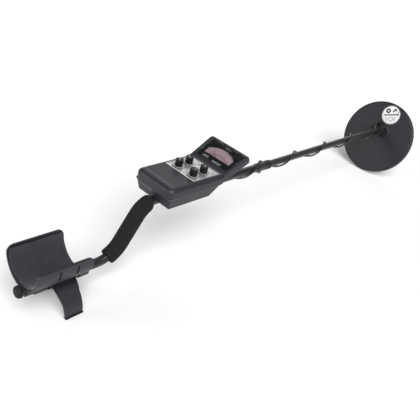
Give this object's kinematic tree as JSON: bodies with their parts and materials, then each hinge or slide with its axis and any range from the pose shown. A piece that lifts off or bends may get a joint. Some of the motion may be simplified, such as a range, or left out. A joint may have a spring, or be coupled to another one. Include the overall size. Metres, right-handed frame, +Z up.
{
  "type": "metal detector",
  "caption": "Hand-held metal detector: S-shaped stem with foam grip, arm cup and stand, control box with meter and knobs, telescoping lower stem, wrapped cable and round tilting search coil.",
  "frame": {"origin": "middle of the footprint, on the ground under the stand's feet and the coil's lowest rim point", "axes": "+X forward towards the search coil, +Y to the user's left, +Z up"},
  "size_m": [1.215, 0.21, 0.2231],
  "materials": {
    "stem_black": "satin black powder coat",
    "stem_lower": "dark grey satin fibre-filled plastic",
    "case_grey": "fine-textured charcoal moulding",
    "cup_grey": "fine-textured charcoal moulding",
    "foam": "closed-cell foam",
    "pad": "cloth-faced foam",
    "panel_silver": "brushed silver panel",
    "knob_black": "ribbed black knob",
    "window_gloss": "clear window",
    "mask_black": "black printed mask",
    "dial_pink": "printed meter dial",
    "needle_red": "thin painted pointer",
    "steel": "zinc plated",
    "rubber": "matt rubber",
    "board": "solder-masked board",
    "battery": "plain jacketed cell",
    "copper": "enamelled copper winding",
    "coil_grey": "fine-textured dark moulding",
    "label_white": "printed vinyl label",
    "cable_black": "smooth jacket",
    "nylon": "moulded nylon"
  },
  "bodies": {
    "frame_body": {"upper_stem": "stem_black", "grip_foam": "foam", "stem_end_cap": "rubber", "arm_cup": "cup_grey", "arm_cup_pad": "pad", "cup_bolts": "steel", "cup_nuts": "steel", "stand": "cup_grey", "stand_feet": "rubber", "case_top": "case_grey", "case_bottom": "case_grey", "case_screws": "steel", "case_bolts": "steel", "control_panel": "panel_silver", "potentiometers": "steel", "pot_nuts": "steel", "meter_window": "window_gloss", "meter_mask": "mask_black", "meter_dial": "dial_pink", "meter_housing": "nylon", "meter_movement": "steel", "circuit_board": "board", "speaker": "steel", "batteries": "battery", "battery_tray": "nylon", "headphone_jack": "nylon", "cable_gland": "rubber", "stem_sleeve": "nylon", "button_spring": "steel", "lock_collet": "nylon", "coil_cable": "cable_black"},
    "battery_door_body": {"battery_door": "case_grey"},
    "needle_body": {"meter_needle": "needle_red"},
    "button_body": {"stem_button": "steel"},
    "collar_body": {"lock_collar": "nylon"},
    "lower_stem_body": {"lower_stem": "stem_lower", "stem_tip": "nylon", "hinge_washers": "rubber", "cable_tail": "cable_black"},
    "coil_body": {"coil_top_shell": "coil_grey", "coil_cover": "coil_grey", "transmit_winding": "copper", "receive_winding": "copper", "coil_gland": "rubber", "coil_label": "label_white", "hinge_bolt": "nylon", "wing_nut": "nylon"},
    "knob_1_body": {"knob_1": "knob_black", "knob_shaft_1": "steel"},
    "knob_2_body": {"knob_2": "knob_black", "knob_shaft_2": "steel"},
    "knob_3_body": {"knob_3": "knob_black", "knob_shaft_3": "steel"},
    "knob_4_body": {"knob_4": "knob_black", "knob_shaft_4": "steel"}
  },
  "joints": [
    {"name": "knob_1_turn", "type": "hinge", "parent": "frame_body", "child": "knob_1_body", "pos_m": [-0.24539, 0.021, 0.20517], "axis": [0.0323, 0, 0.9995], "range_deg": [-150, 150]},
    {"name": "knob_2_turn", "type": "hinge", "parent": "frame_body", "child": "knob_2_body", "pos_m": [-0.24539, -0.021, 0.20517], "axis": [0.0323, 0, 0.9995], "range_deg": [-150, 150]},
    {"name": "knob_3_turn", "type": "hinge", "parent": "frame_body", "child": "knob_3_body", "pos_m": [-0.2174, 0.021, 0.20427], "axis": [0.0323, 0, 0.9995], "range_deg": [-150, 150]},
    {"name": "knob_4_turn", "type": "hinge", "parent": "frame_body", "child": "knob_4_body", "pos_m": [-0.2174, -0.021, 0.20427], "axis": [0.0323, 0, 0.9995], "range_deg": [-150, 150]},
    {"name": "meter_needle_swing", "type": "hinge", "parent": "frame_body", "child": "needle_body", "pos_m": [-0.1658, 0, 0.20059], "axis": [-0.3977, 0, 0.9175], "range_deg": [-84, 0], "stiffness_Nm_per_rad": 0.0001},
    {"name": "battery_door_slide", "type": "slide", "parent": "frame_body", "child": "battery_door_body", "axis": [0, -1, 0], "range_m": [0, 0.034]},
    {"name": "stem_button_press", "type": "slide", "parent": "frame_body", "child": "button_body", "axis": [0.0323, 0, 0.9995], "range_m": [0, 0.0014], "stiffness_N_per_m": 500, "deforming": ["button_spring"]},
    {"name": "lock_collar_twist", "type": "hinge", "parent": "frame_body", "child": "collar_body", "pos_m": [0.0227, 0, 0.14149], "axis": [0.9995, 0, -0.0323], "range_deg": [0, 90]},
    {"name": "stem_slide", "type": "slide", "parent": "frame_body", "child": "lower_stem_body", "axis": [0.9995, 0, -0.0323], "range_m": [-0.18, 0], "deforming": ["coil_cable"]},
    {"name": "coil_tilt", "type": "hinge", "parent": "lower_stem_body", "child": "coil_body", "pos_m": [0.54742, 0, 0.12454], "axis": [0, 1, 0], "range_deg": [-55, 70], "deforming": ["cable_tail"]}
  ]
}
